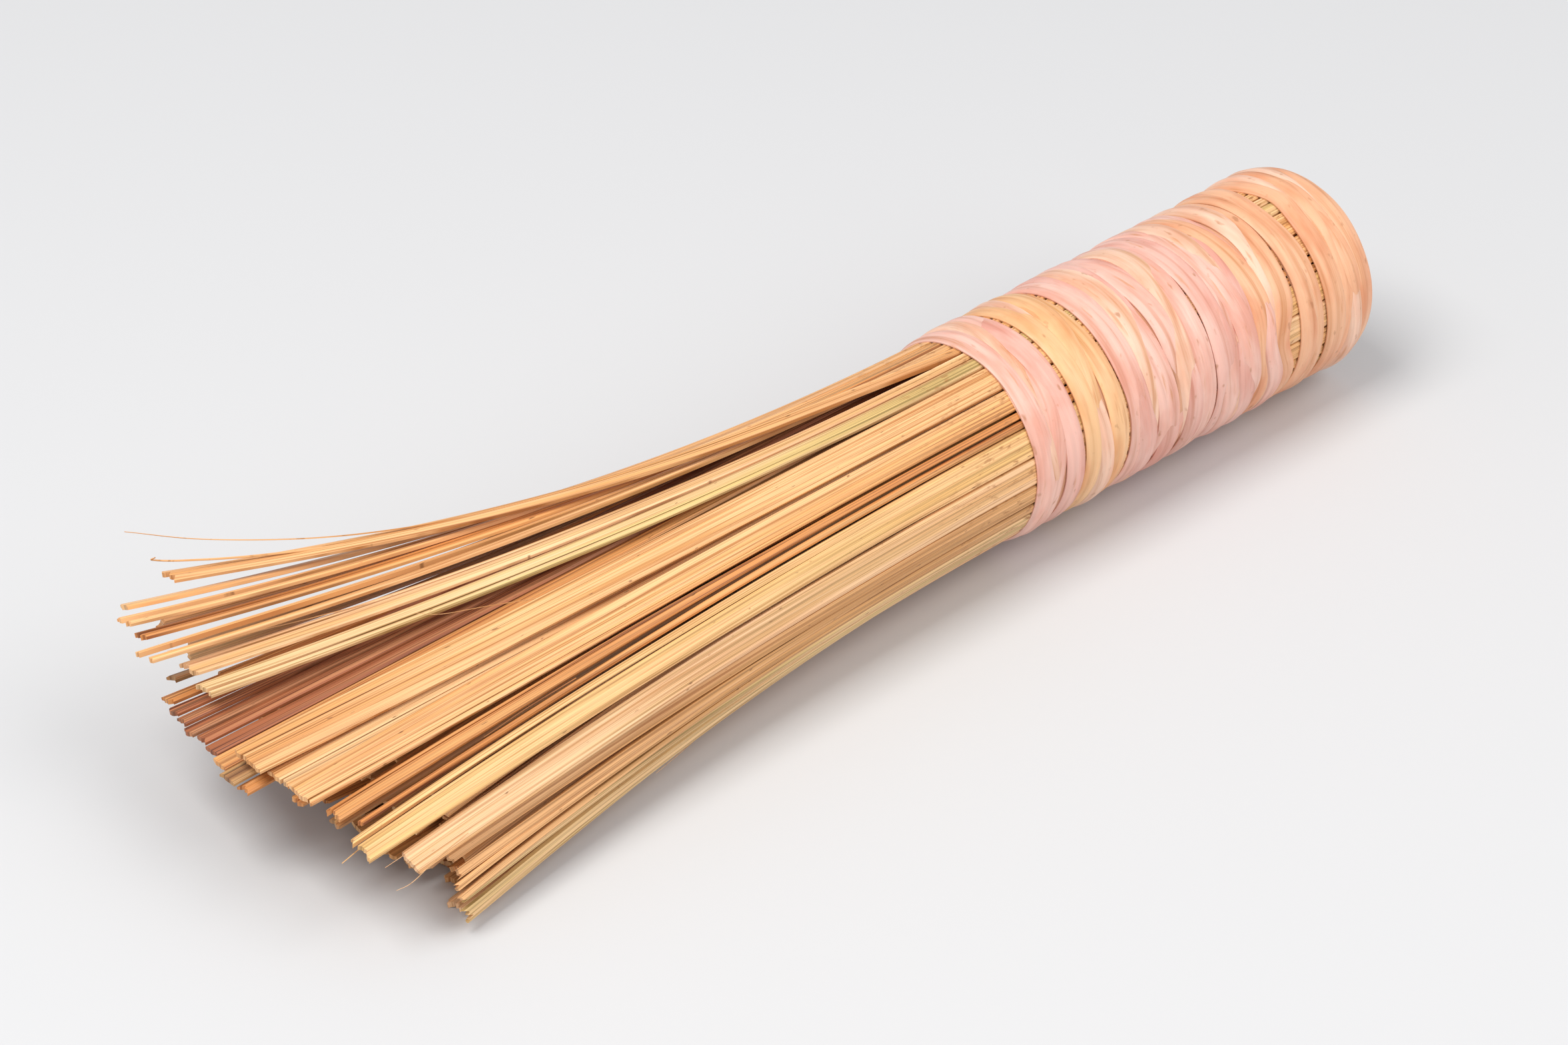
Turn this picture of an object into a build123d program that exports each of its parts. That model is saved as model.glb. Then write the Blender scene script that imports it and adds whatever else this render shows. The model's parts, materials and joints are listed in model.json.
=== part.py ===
from build123d import *

import math
import os
from typing import NamedTuple

# A bamboo wok brush lying on its side. A round bundle of split bamboo splints is bound at one end
# with flat strips of bamboo peel, which makes the handle. The free ends spread into a flat fan.
#
# Lengths are millimetres. The bundle's axis runs along X: the butt end is towards +X, the fan
# towards -X, and X = 0 is the mouth, where the splints leave the binding. Z = 0 is the table.
# The finished solids are moved so that the origin is under the middle of the whole brush.
#
# Places around the axis are angles in degrees: 0 is the right side (-Y), 90 the top, 180 the
# left side (+Y) and 270 the bottom.

HANDLE_LENGTH = 98.0
WRAP_RADIUS = 22.5
AXIS_HEIGHT = WRAP_RADIUS

SIDE_GAP = 0.15            # between neighbouring splints of one ring
TIP_THICKNESS = 1.3
CORE_SIZE = 1.9            # side of the square stick on the axis
CORE_FREE_LENGTH = 90.0
CORE_TIP = (5.0, 18.2)     # y and height
FLEX_X = -25.0             # the outer splints bend from here outwards
FREE_STATIONS = (0.35, 0.5, 0.64, 0.78, 0.9, 1.0)
LIFT_SHARE = 0.15          # a lifted splint is at its full lift by this share of its free length


class Ring(NamedTuple):
    """One ring of splints in the round bundle, from the outer ring (number 0) inwards."""

    radius: float            # to the middle of the splints' thickness
    thickness: float         # at the mouth
    butt_x: float            # where the splints are cut off at the handle's end


RINGS = (
    Ring(20.45, 1.4, 97.4),
    Ring(17.9, 2.3, 94.5),
    Ring(14.9, 2.4, 96.5),
    Ring(11.9, 2.4, HANDLE_LENGTH),
    Ring(8.9, 2.4, HANDLE_LENGTH),
    Ring(5.9, 2.4, HANDLE_LENGTH),
    Ring(2.9, 2.4, HANDLE_LENGTH),
)

# The butt is rounded: the outer ring leans in by these amounts towards its cut ends (x, amount).
BUTT_ROUNDING = ((91.0, 0.0), (94.5, 0.3), (97.4, 1.1))


class Splint(NamedTuple):
    """A splint fills an arc of its ring at the mouth and ends at a tip in the fan."""

    name: str
    arc: tuple               # degrees, from and to, at the mouth
    free_length: float       # from the mouth to the tip, along X
    tip: tuple               # y and height of the middle of the tip
    tip_angle: float         # the way the outer face looks at the tip, in degrees
    tip_width: float
    lift: float = 0.0        # how far the splint rides up over its neighbours
    ring: int = 0


# The outer splints, in sheaves of neighbours, from the right-hand edge over the top and back under.
SHEAVES = {
    "right": (
        Splint("right_1", (-50.0, -35.0), 147.0, (-22.6, 1.5), -72.0, 4.6),
        Splint("right_2", (-35.0, -19.0), 149.5, (-28.4, 5.4), 22.0, 4.2),
        Splint("right_3", (-19.0, -11.0), 151.0, (-28.5, 9.9), 40.0, 2.6),
        Splint("right_4", (-11.0, 1.8), 149.5, (-25.5, 13.6), 50.0, 4.0),
        Splint("right_5", (1.8, 18.2), 158.0, (-24.0, 17.8), 62.0, 5.8),
    ),
    "top": (
        Splint("top_1", (18.2, 35.0), 165.0, (-19.5, 22.0), 82.0, 6.8),
        Splint("top_2", (35.0, 39.8), 161.0, (-13.65, 22.2), 88.0, 1.5),
        Splint("top_3", (39.8, 44.7), 164.0, (-10.1, 23.5), 88.0, 4.8),
        Splint("top_4", (44.7, 58.4), 166.0, (-3.0, 25.0), 90.0, 7.0),
        Splint("top_5", (52.0, 65.0), 165.0, (4.9, 23.5), 90.0, 6.0, ring=1),
        Splint("top_6", (58.4, 74.8), 167.0, (11.0, 25.0), 90.0, 8.0),
        Splint("top_7", (74.8, 84.0), 162.5, (30.0, 28.0), 92.0, 3.9),
    ),
    "left": (
        Splint("left_1", (84.0, 90.5), 162.0, (35.0, 29.6), 96.0, 4.8),
        Splint("left_2", (90.6, 98.2), 153.5, (51.5, 37.6), 98.0, 4.4, lift=1.8),
        Splint("left_3", (98.5, 105.5), 167.5, (40.8, 31.8), 100.0, 2.6),
        Splint("left_4", (105.5, 114.0), 165.0, (45.0, 33.0), 104.0, 2.7),
        Splint("left_5", (114.0, 123.5), 166.0, (48.7, 34.8), 106.0, 2.5),
        Splint("left_6", (123.5, 133.0), 163.5, (52.2, 35.0), 110.0, 2.6),
    ),
    "left_under": (
        Splint("left_under_1", (133.0, 148.0), 157.0, (50.5, 28.5), 150.0, 4.6),
        Splint("left_under_2", (148.0, 162.5), 153.0, (47.5, 22.0), 165.0, 4.6),
        Splint("left_under_3", (162.5, 177.5), 150.0, (42.5, 16.0), 190.0, 4.6),
        Splint("left_under_4", (177.5, 192.0), 147.0, (36.2, 10.8), 212.0, 4.6),
    ),
    "under": (
        Splint("under_1", (192.0, 207.0), 145.0, (29.0, 6.4), 232.0, 4.6),
        Splint("under_2", (207.0, 221.5), 143.0, (21.5, 3.4), 246.0, 4.6),
        Splint("under_3", (221.5, 236.5), 141.0, (14.2, 1.6), 258.0, 4.6),
        Splint("under_4", (236.5, 251.0), 140.0, (7.4, 1.0), 266.0, 4.6),
    ),
    "right_under": (
        Splint("right_under_1", (251.0, 266.0), 140.0, (1.4, 0.8), 268.0, 4.6),
        Splint("right_under_2", (266.0, 281.0), 140.0, (-4.6, 0.8), 270.0, 4.6),
        Splint("right_under_3", (281.0, 295.5), 141.0, (-10.6, 0.8), 272.0, 4.6),
        Splint("right_under_4", (295.5, 310.0), 143.0, (-16.6, 0.9), 276.0, 4.6),
    ),
}

# The upper splints of the second ring. Their tips show below and between the outer ones.
SECOND_RING_TOP = (
    Splint("stub_1", (35.0, 43.5), 163.0, (-8.6, 20.0), 88.0, 2.4, ring=1),
    Splint("stub_2", (43.5, 52.0), 165.0, (1.0, 20.2), 90.0, 2.7, ring=1),
    Splint("stub_3", (65.0, 73.0), 169.0, (10.8, 19.2), 88.0, 2.2, ring=1),
    Splint("stub_4", (73.0, 81.0), 170.0, (13.9, 20.6), 90.0, 3.2, ring=1),
    Splint("stub_5", (81.0, 89.0), 168.5, (18.2, 20.8), 90.0, 3.2, ring=1),
    Splint("red_1", (89.0, 97.0), 167.5, (22.0, 21.0), 92.0, 2.7, ring=1),
    Splint("red_2", (97.0, 105.0), 167.0, (25.3, 21.4), 94.0, 2.4, ring=1),
    Splint("red_3", (105.0, 112.5), 168.0, (28.5, 21.6), 96.0, 2.6, ring=1),
    Splint("red_4", (112.5, 120.0), 167.0, (31.7, 21.8), 98.0, 2.4, ring=1),
    Splint("red_5", (120.0, 127.0), 167.0, (34.8, 22.0), 100.0, 2.5, ring=1),
    Splint("red_6", (127.0, 134.5), 165.0, (38.2, 22.2), 104.0, 2.8, ring=1),
    Splint("olive_1", (134.5, 142.0), 162.0, (42.0, 23.0), 112.0, 2.8, ring=1),
)


class Oval(NamedTuple):
    """The tips of a whole inner ring lie on a flat oval that leans up to the left, like the fan."""

    middle: tuple
    half_width: float
    half_height: float
    lean: float
    free_length: float
    count: int
    arc: tuple = (0.0, 360.0)


OVALS = {
    1: Oval((6.5, 14.0), 28.5, 10.2, 0.12, 145.0, 17, (156.0, 395.0)),
    2: Oval((7.5, 12.4), 25.2, 7.0, 0.12, 150.0, 22),
    3: Oval((7.5, 12.8), 20.0, 4.85, 0.12, 141.0, 17),
    4: Oval((7.2, 13.8), 14.4, 3.7, 0.12, 131.0, 12),
    5: Oval((6.8, 15.3), 8.7, 2.7, 0.12, 116.0, 8),
    6: Oval((6.2, 16.9), 4.6, 1.4, 0.12, 102.0, 4),
}
OVAL_STEPS = 720
INNER_TIP_NARROWING = 0.86

# The binding: six bands of peel strip, from the mouth to the butt (length of handle, turns).
BANDS = ((13.5, 3), (12.2, 3), (25.0, 5), (24.3, 5), (7.8, 2), (14.8, 3))
BAND_GAP = 0.5
BAND_FLOOR_CLEARANCE = 0.12     # between the bands and the corners of the outer splints
WRAP_VALLEY_DEPTH = 0.5


def butt_lean(x):
    """How far the outer ring has leaned in at x, by straight lines between the rounding's points."""
    if x <= BUTT_ROUNDING[0][0]:
        return 0.0
    for (x0, lean0), (x1, lean1) in zip(BUTT_ROUNDING, BUTT_ROUNDING[1:]):
        if x <= x1:
            return lean0 + (lean1 - lean0) * (x - x0) / (x1 - x0)
    return BUTT_ROUNDING[-1][1]


def mouth_width(arc, ring):
    """The widest flat splint that fills an arc of its ring and leaves a gap to its neighbours."""
    inner_radius = RINGS[ring].radius - RINGS[ring].thickness / 2
    half_span = math.radians(arc[1] - arc[0]) / 2
    return 2 * inner_radius * math.tan(half_span) - SIDE_GAP


def section_at(splint, x):
    """The cut across a splint at x: middle (y, z), facing angle in degrees, width, thickness."""
    ring = RINGS[splint.ring]
    mouth_angle = sum(splint.arc) / 2
    facing = math.radians(mouth_angle)
    width = mouth_width(splint.arc, splint.ring)
    if x >= 0:
        radius = ring.radius - (butt_lean(x) if splint.ring == 0 else 0.0)
        middle = (-radius * math.cos(facing), AXIS_HEIGHT + radius * math.sin(facing))
        return middle, mouth_angle, width * radius / ring.radius, ring.thickness
    share = -x / splint.free_length
    bend = share * share
    radius = ring.radius + splint.lift * min(1.0, share / LIFT_SHARE) * (1.0 - bend)
    mouth = (-radius * math.cos(facing), AXIS_HEIGHT + radius * math.sin(facing))
    middle = tuple(a + (b - a) * bend for a, b in zip(mouth, splint.tip))
    angle = mouth_angle + (splint.tip_angle - mouth_angle) * bend
    width += (splint.tip_width - width) * bend
    thickness = ring.thickness + (TIP_THICKNESS - ring.thickness) * share
    return middle, angle, width, thickness


def loft_splint(splint, stations):
    """A solid strip through the splint's cuts at the stations."""
    cuts = []
    for x in stations:
        (y, z), angle, width, thickness = section_at(splint, x)
        turn = math.radians(angle)
        side = (0.0, math.sin(turn), math.cos(turn))
        plane = Plane(origin=(x, y, z), x_dir=side, z_dir=(1, 0, 0))
        cuts.append(plane * Rectangle(width, thickness))
    return loft(cuts, ruled=True)


def butt_stations(ring):
    """Stations along the handle, from the butt to the mouth."""
    end = RINGS[ring].butt_x
    if ring > 0:
        return [end, 0.0]
    return [x for x, _ in reversed(BUTT_ROUNDING)] + [0.0]


def free_stations(splint):
    """Stations along the free part of a splint, without the mouth."""
    return [-share * splint.free_length for share in FREE_STATIONS]


def shank(splint):
    """The fixed part of an outer splint: all that is in the binding, and the start of its free part."""
    return loft_splint(splint, butt_stations(splint.ring) + [FLEX_X])


def tine(splint):
    """The part of an outer splint that bends outwards."""
    return loft_splint(splint, [FLEX_X] + free_stations(splint))


def whole_splint(splint):
    """An inner splint in one piece."""
    return loft_splint(splint, butt_stations(splint.ring) + free_stations(splint))


def oval_point(oval, turn):
    """A point of an oval of tips. Turn 0 is its right-hand end and a quarter turn its top."""
    across = -oval.half_width * math.cos(turn)
    y = oval.middle[0] + across
    z = oval.middle[1] + oval.half_height * math.sin(turn) + oval.lean * across
    return y, z


def oval_tips(oval, places):
    """Tips at even shares of the way round an oval, each with the angle that it faces."""
    points = [oval_point(oval, 2 * math.pi * i / OVAL_STEPS) for i in range(OVAL_STEPS + 1)]
    travelled = [0.0]
    for here, there in zip(points, points[1:]):
        travelled.append(travelled[-1] + math.dist(here, there))
    tips = []
    for degrees in places:
        goal = travelled[-1] * (degrees % 360.0) / 360.0
        index = next(i for i, run in enumerate(travelled[1:]) if run >= goal)
        (y0, z0), (y1, z1) = points[index], points[index + 1]
        facing = math.degrees(math.atan2(y1 - y0, z1 - z0))
        facing += 360.0 * round((degrees - facing) / 360.0)
        tips.append((points[index], facing))
    return tips


def inner_ring(ring):
    """The splints of an inner ring whose tips lie on its oval."""
    oval = OVALS[ring]
    pitch = (oval.arc[1] - oval.arc[0]) / oval.count
    places = [oval.arc[0] + (i + 0.5) * pitch for i in range(oval.count)]
    splints = []
    for i, (place, (tip, facing)) in enumerate(zip(places, oval_tips(oval, places))):
        arc = (place - pitch / 2, place + pitch / 2)
        width = mouth_width(arc, ring) * INNER_TIP_NARROWING
        name = f"ring_{ring}_{i + 1}"
        splints.append(Splint(name, arc, oval.free_length, tip, facing, width, ring=ring))
    return splints


def core_stick():
    """The square stick in the middle of the bundle. It bends with the splints around it."""
    cuts = []
    for x in [HANDLE_LENGTH, 0.0] + [-share * CORE_FREE_LENGTH for share in FREE_STATIONS]:
        bend = max(0.0, -x / CORE_FREE_LENGTH) ** 2
        y = CORE_TIP[0] * bend
        z = AXIS_HEIGHT + (CORE_TIP[1] - AXIS_HEIGHT) * bend
        plane = Plane(origin=(x, y, z), x_dir=(0, 1, 0), z_dir=(1, 0, 0))
        cuts.append(plane * Rectangle(CORE_SIZE, CORE_SIZE))
    return loft(cuts, ruled=True)


def wrap_radius(x):
    """The outside of the binding at x."""
    return WRAP_RADIUS - butt_lean(x)


def band_floor(x):
    """The inside of the binding at x, just clear of the outer splints' corners."""
    widest = max(
        mouth_width(splint.arc, 0)
        for sheaf in SHEAVES.values()
        for splint in sheaf
        if splint.ring == 0
    )
    outside = RINGS[0].radius + RINGS[0].thickness / 2
    return math.hypot(outside, widest / 2) + BAND_FLOOR_CLEARANCE - butt_lean(x)


def band(start, end, turns):
    """One band of binding: a ring whose outside has a domed ridge for each turn of strip."""
    bottom = sorted({start, end} | {x for x, _ in BUTT_ROUNDING if start < x < end})
    pitch = (end - start) / turns
    ridges = [start + i * pitch for i in range(turns + 1)]
    with BuildPart() as ring:
        with BuildSketch(Plane.XZ):
            with BuildLine():
                Polyline(*[(x, band_floor(x)) for x in bottom])
                for x0, x1 in zip(ridges, ridges[1:]):
                    middle = (x0 + x1) / 2
                    ThreePointArc(
                        (x0, wrap_radius(x0) - WRAP_VALLEY_DEPTH),
                        (middle, wrap_radius(middle)),
                        (x1, wrap_radius(x1) - WRAP_VALLEY_DEPTH),
                    )
                Line((start, band_floor(start)), (start, wrap_radius(start) - WRAP_VALLEY_DEPTH))
                Line((end, band_floor(end)), (end, wrap_radius(end) - WRAP_VALLEY_DEPTH))
            make_face()
        revolve(axis=Axis.X)
    return Pos(0, 0, AXIS_HEIGHT) * ring.part


def bands():
    """All the bands of the binding, by node name."""
    made = {}
    start = 0.0
    for number, (length, turns) in enumerate(BANDS, start=1):
        end = start + length
        made[f"binding_{number}"] = band(start + BAND_GAP / 2, end - BAND_GAP / 2, turns)
        start = end
    return made


def all_nodes():
    """Every node of the brush, by name, in the working frame."""
    nodes = {}
    for name, sheaf in SHEAVES.items():
        nodes[f"shank_{name}"] = Compound(children=[shank(splint) for splint in sheaf])
        for splint in sheaf:
            nodes[f"tine_{splint.name}"] = tine(splint)
    nodes["second_ring_top"] = Compound(children=[whole_splint(s) for s in SECOND_RING_TOP])
    for ring in OVALS:
        nodes[f"inner_ring_{ring}"] = Compound(children=[whole_splint(s) for s in inner_ring(ring)])
    nodes["core_stick"] = core_stick()
    nodes.update(bands())
    return nodes


def main():
    nodes = all_nodes()
    lows = []
    highs = []
    for shape in nodes.values():
        box = shape.bounding_box()
        lows.append((box.min.X, box.min.Y, box.min.Z))
        highs.append((box.max.X, box.max.Y, box.max.Z))
    low = [min(values) for values in zip(*lows)]
    high = [max(values) for values in zip(*highs)]
    shift = Pos(-(low[0] + high[0]) / 2, -(low[1] + high[1]) / 2, -low[2])
    os.makedirs("parts", exist_ok=True)
    for name, shape in nodes.items():
        export_step(shift * shape, f"parts/{name}.step")
    print("nodes", len(nodes), "shift", shift.position)


if __name__ == "__main__":
    main()
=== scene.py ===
import json
import math
import random
from typing import NamedTuple

import bpy
import numpy as np
from mathutils import Matrix, Vector, noise


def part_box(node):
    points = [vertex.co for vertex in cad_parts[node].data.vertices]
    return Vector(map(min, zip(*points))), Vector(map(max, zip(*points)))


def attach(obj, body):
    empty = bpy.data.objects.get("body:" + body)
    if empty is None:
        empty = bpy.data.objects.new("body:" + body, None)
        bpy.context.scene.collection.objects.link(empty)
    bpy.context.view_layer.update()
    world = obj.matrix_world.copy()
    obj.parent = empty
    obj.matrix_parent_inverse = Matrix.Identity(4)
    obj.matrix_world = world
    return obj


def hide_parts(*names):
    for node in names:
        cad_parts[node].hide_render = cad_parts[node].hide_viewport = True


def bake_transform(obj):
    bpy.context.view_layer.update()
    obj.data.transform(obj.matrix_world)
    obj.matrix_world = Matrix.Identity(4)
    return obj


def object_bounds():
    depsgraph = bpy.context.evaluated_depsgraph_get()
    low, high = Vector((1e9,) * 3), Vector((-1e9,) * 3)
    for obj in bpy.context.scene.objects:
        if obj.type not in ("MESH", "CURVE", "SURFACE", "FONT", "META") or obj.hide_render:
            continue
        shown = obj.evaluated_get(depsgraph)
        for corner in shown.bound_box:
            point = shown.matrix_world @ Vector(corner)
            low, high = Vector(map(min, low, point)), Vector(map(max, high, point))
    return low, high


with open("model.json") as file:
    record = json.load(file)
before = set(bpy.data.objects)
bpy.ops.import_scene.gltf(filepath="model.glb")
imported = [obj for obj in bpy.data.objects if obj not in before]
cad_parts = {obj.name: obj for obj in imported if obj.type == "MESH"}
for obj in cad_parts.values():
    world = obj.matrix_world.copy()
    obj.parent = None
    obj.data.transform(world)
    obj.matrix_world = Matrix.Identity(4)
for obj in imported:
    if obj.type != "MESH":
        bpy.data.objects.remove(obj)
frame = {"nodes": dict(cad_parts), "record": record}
cad_low, cad_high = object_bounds()

# A bamboo wok brush lying on its side: splints bound into a round handle with strips of peel.
# Everything is in metres, in the CAD frame: the fan towards -X, the butt of the handle towards +X.
# Places around the bundle's axis are angles: 0 is the right side (-Y) and a quarter turn the top.

MM = 0.001
BAND_GAP = 0.5 * MM                      # the CAD leaves this between two bands of binding
first_band_low, first_band_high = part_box("binding_1")
MOUTH_X = first_band_low[0] - BAND_GAP / 2
AXIS_Y = (first_band_low[1] + first_band_high[1]) / 2
AXIS_Z = (first_band_low[2] + first_band_high[2]) / 2
WRAP_RADIUS = (first_band_high[2] - first_band_low[2]) / 2
BUTT_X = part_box("core_stick")[1][0]
FLEX_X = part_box("tine_top_4")[1][0]      # where the CAD's free splints are hinged
RIM_LENGTH = 6.4 * MM                    # over this much of the butt everything leans in to its rim
RIM_CURVE = 1.8                          # the power of that lean: straight at first, then steeper
JUST_OFF = 0.02 * MM                     # a cut near a solid's end is made this far from it
HANDLE = "handle"

bodies_of_nodes = {
    node: body for body, nodes in frame["record"]["behaviour"]["bodies"].items() for node in nodes
}


# ---------------------------------------------------------------- materials


def new_material(name):
    """An empty node material, its tree and its Principled shader."""
    material = bpy.data.materials.new(name)
    material.use_nodes = True
    tree = material.node_tree
    shader = tree.nodes["Principled BSDF"]
    return material, tree, shader


def strip_coordinates(tree):
    """The strip's own coordinates, in millimetres: across it, and along it."""
    uv = tree.nodes.new("ShaderNodeUVMap")
    uv.uv_map = "UVMap"
    return uv.outputs["UV"]


def grain(tree, across, along, shift=0.0, detail=2.0, roughness=0.55):
    """Noise stretched along the strip. Across and along are its scales per millimetre."""
    mapping = tree.nodes.new("ShaderNodeMapping")
    mapping.inputs["Scale"].default_value = (across, along, 1.0)
    mapping.inputs["Location"].default_value = (shift, shift * 1.7, 0.0)
    tree.links.new(strip_coordinates(tree), mapping.inputs["Vector"])
    texture = tree.nodes.new("ShaderNodeTexNoise")
    texture.inputs["Scale"].default_value = 1.0
    texture.inputs["Detail"].default_value = detail
    texture.inputs["Roughness"].default_value = roughness
    tree.links.new(mapping.outputs["Vector"], texture.inputs["Vector"])
    return texture.outputs["Fac"]


def ramp(tree, value, stops):
    """A colour ramp on a value; stops are (position, colour)."""
    node = tree.nodes.new("ShaderNodeValToRGB")
    elements = node.color_ramp.elements
    while len(elements) < len(stops):
        elements.new(0.5)
    for element, (position, colour) in zip(elements, stops):
        element.position = position
        element.color = (*colour, 1.0)
    tree.links.new(value, node.inputs["Fac"])
    return node.outputs["Color"]


def mask(tree, value, start, end, most):
    """A grey that rises from black at start to its most at end."""
    return ramp(tree, value, ((start, BLACK), (end, (most, most, most))))


def mix_colours(tree, factor, first, second, mode="MIX"):
    """Mixes two colours. The factor is a socket or a number, the second colour a socket or a tuple."""
    node = tree.nodes.new("ShaderNodeMix")
    node.data_type = "RGBA"
    node.blend_type = mode
    factor_input, first_input, second_input = node.inputs[0], node.inputs[6], node.inputs[7]
    if isinstance(factor, float):
        factor_input.default_value = factor
    else:
        tree.links.new(factor, factor_input)
    tree.links.new(first, first_input)
    if isinstance(second, tuple):
        second_input.default_value = (*second, 1.0)
    else:
        tree.links.new(second, second_input)
    return node.outputs[2]


def darken(tree, colour, value, start, end, dark, strength):
    """Multiplies a colour by a ramp from dark at start to white at end."""
    layer = ramp(tree, value, ((start, dark), (end, WHITE)))
    return mix_colours(tree, strength, colour, layer, "MULTIPLY")


def add_bump(tree, shader, heights, distance):
    """Bumps the shader by (height socket, strength) pairs, one after another."""
    normal = None
    for height, strength in heights:
        bump = tree.nodes.new("ShaderNodeBump")
        bump.inputs["Strength"].default_value = strength
        bump.inputs["Distance"].default_value = distance
        tree.links.new(height, bump.inputs["Height"])
        if normal is not None:
            tree.links.new(normal, bump.inputs["Normal"])
        normal = bump.outputs["Normal"]
    tree.links.new(normal, shader.inputs["Normal"])


def shade(colour, factor):
    """A colour made lighter or darker."""
    return tuple(min(1.0, channel * factor) for channel in colour)


def bamboo(name, light, deep, streak):
    """Split bamboo: fine straight fibres, broader streaks of a second tint, drifts and dark flecks."""
    material, tree, shader = new_material(name)
    fibres = grain(tree, 2.2, 0.010, detail=4.0, roughness=0.70)
    hairlines = grain(tree, 5.2, 0.016, shift=3.1)
    bands = grain(tree, 0.62, 0.008, shift=6.2)
    drift = grain(tree, 0.20, 0.020, shift=7.7)
    spots = grain(tree, 1.5, 0.32, shift=5.3, roughness=0.4)
    body = ramp(tree, fibres, ((0.40, deep), (0.49, light), (0.58, shade(light, 1.20))))
    second = ramp(tree, fibres, ((0.40, shade(streak, 0.60)), (0.50, streak),
                                 (0.60, shade(streak, 1.20))))
    colour = mix_colours(tree, mask(tree, bands, 0.47, 0.60, 0.85), body, second)
    colour = darken(tree, colour, hairlines, 0.34, 0.45, shade(deep, 0.75), strength=0.46)
    colour = darken(tree, colour, drift, 0.34, 0.62, shade(deep, 1.3), strength=0.20)
    colour = mix_colours(tree, mask(tree, spots, 0.71, 0.77, 0.8), colour, BROWN_FLECK)
    colour = mix_colours(tree, mouth_stains(tree), colour, STAIN)
    tree.links.new(colour, shader.inputs["Base Color"])
    shader.inputs["Roughness"].default_value = 0.46
    shader.inputs["Specular IOR Level"].default_value = 0.42
    add_bump(tree, shader, ((fibres, 0.6), (hairlines, 0.35)), 0.18 * MM)
    return material


def mouth_stains(tree):
    """A mask of small brown stains near the mouth. The coordinate along a splint is its X in mm."""
    split = tree.nodes.new("ShaderNodeSeparateXYZ")
    tree.links.new(strip_coordinates(tree), split.inputs["Vector"])
    near = tree.nodes.new("ShaderNodeMapRange")
    near.inputs["From Min"].default_value = MOUTH_X / MM - STAINED_LENGTH
    near.inputs["From Max"].default_value = MOUTH_X / MM
    tree.links.new(split.outputs["Y"], near.inputs["Value"])
    blots = grain(tree, 0.9, 0.30, shift=8.8, detail=3.0)
    product = tree.nodes.new("ShaderNodeMath")
    product.operation = "MULTIPLY"
    tree.links.new(near.outputs["Result"], product.inputs[0])
    tree.links.new(mask(tree, blots, 0.57, 0.68, 0.9), product.inputs[1])
    return product.outputs["Value"]


def peel(name, light, deep):
    """Peel strip: smooth and slightly waxy, with soft lengthwise streaks, brown specks and smears."""
    material, tree, shader = new_material(name)
    streaks = grain(tree, 0.62, 0.022, detail=3.0, roughness=0.5)
    fine = grain(tree, 4.5, 0.05, shift=2.3)
    clouds = grain(tree, 0.19, 0.055, shift=9.1, detail=3.0)
    spots = grain(tree, 0.55, 0.30, shift=4.4, roughness=0.45)
    smears = grain(tree, 0.75, 0.085, shift=1.9, detail=3.0, roughness=0.5)
    colour = ramp(tree, streaks, ((0.26, deep), (0.46, light), (0.66, shade(light, 1.12))))
    colour = darken(tree, colour, clouds, 0.36, 0.58, shade(deep, 1.30), strength=0.45)
    colour = mix_colours(tree, mask(tree, spots, 0.66, 0.76, 0.65), colour, PEEL_SPECK)
    colour = mix_colours(tree, mask(tree, smears, 0.62, 0.72, 0.55), colour, PEEL_SMEAR)
    tree.links.new(colour, shader.inputs["Base Color"])
    shader.inputs["Roughness"].default_value = 0.40
    shader.inputs["Specular IOR Level"].default_value = 0.45
    shader.inputs["Subsurface Weight"].default_value = 0.06
    shader.inputs["Subsurface Radius"].default_value = (4 * MM, 2 * MM, 1 * MM)
    add_bump(tree, shader, ((streaks, 0.7), (fine, 0.12)), 0.30 * MM)
    return material


BLACK = (0.0, 0.0, 0.0)
WHITE = (1.0, 1.0, 1.0)
BROWN_FLECK = (0.20, 0.085, 0.03)
STAIN = (0.36, 0.15, 0.045)
STAINED_LENGTH = 30.0            # millimetres of the free splints, from the mouth
PEEL_SPECK = (0.42, 0.17, 0.07)
PEEL_SMEAR = (0.56, 0.23, 0.08)
# Each tint: the light of the fibres, the dark between them, and the second tint of the streaks.
TINTS = {
    name: bamboo(f"bamboo_{name}", light, deep, streak)
    for name, light, deep, streak in (
        ("tan", (0.80, 0.47, 0.22), (0.52, 0.22, 0.065), (0.74, 0.36, 0.12)),
        ("amber", (0.76, 0.41, 0.17), (0.46, 0.18, 0.05), (0.80, 0.52, 0.27)),
        ("pale", (0.82, 0.52, 0.29), (0.60, 0.32, 0.13), (0.76, 0.45, 0.19)),
        ("yellow", (0.81, 0.50, 0.23), (0.58, 0.30, 0.10), (0.74, 0.45, 0.16)),
        ("green", (0.78, 0.52, 0.27), (0.48, 0.28, 0.10), (0.64, 0.46, 0.17)),
        ("orange", (0.63, 0.26, 0.075), (0.30, 0.09, 0.025), (0.74, 0.38, 0.14)),
        # red: a red-brown splint colour, made darker still as painted shade for the second layer, which
        # lies in the shade of the splints over it
        ("red", (0.38, 0.125, 0.05), (0.12, 0.032, 0.016), (0.54, 0.24, 0.11)),
        ("brown", (0.40, 0.19, 0.07), (0.18, 0.07, 0.025), (0.52, 0.30, 0.12)),
        ("dull", (0.76, 0.43, 0.19), (0.48, 0.22, 0.075), (0.60, 0.31, 0.11)),
    )
}
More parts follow.
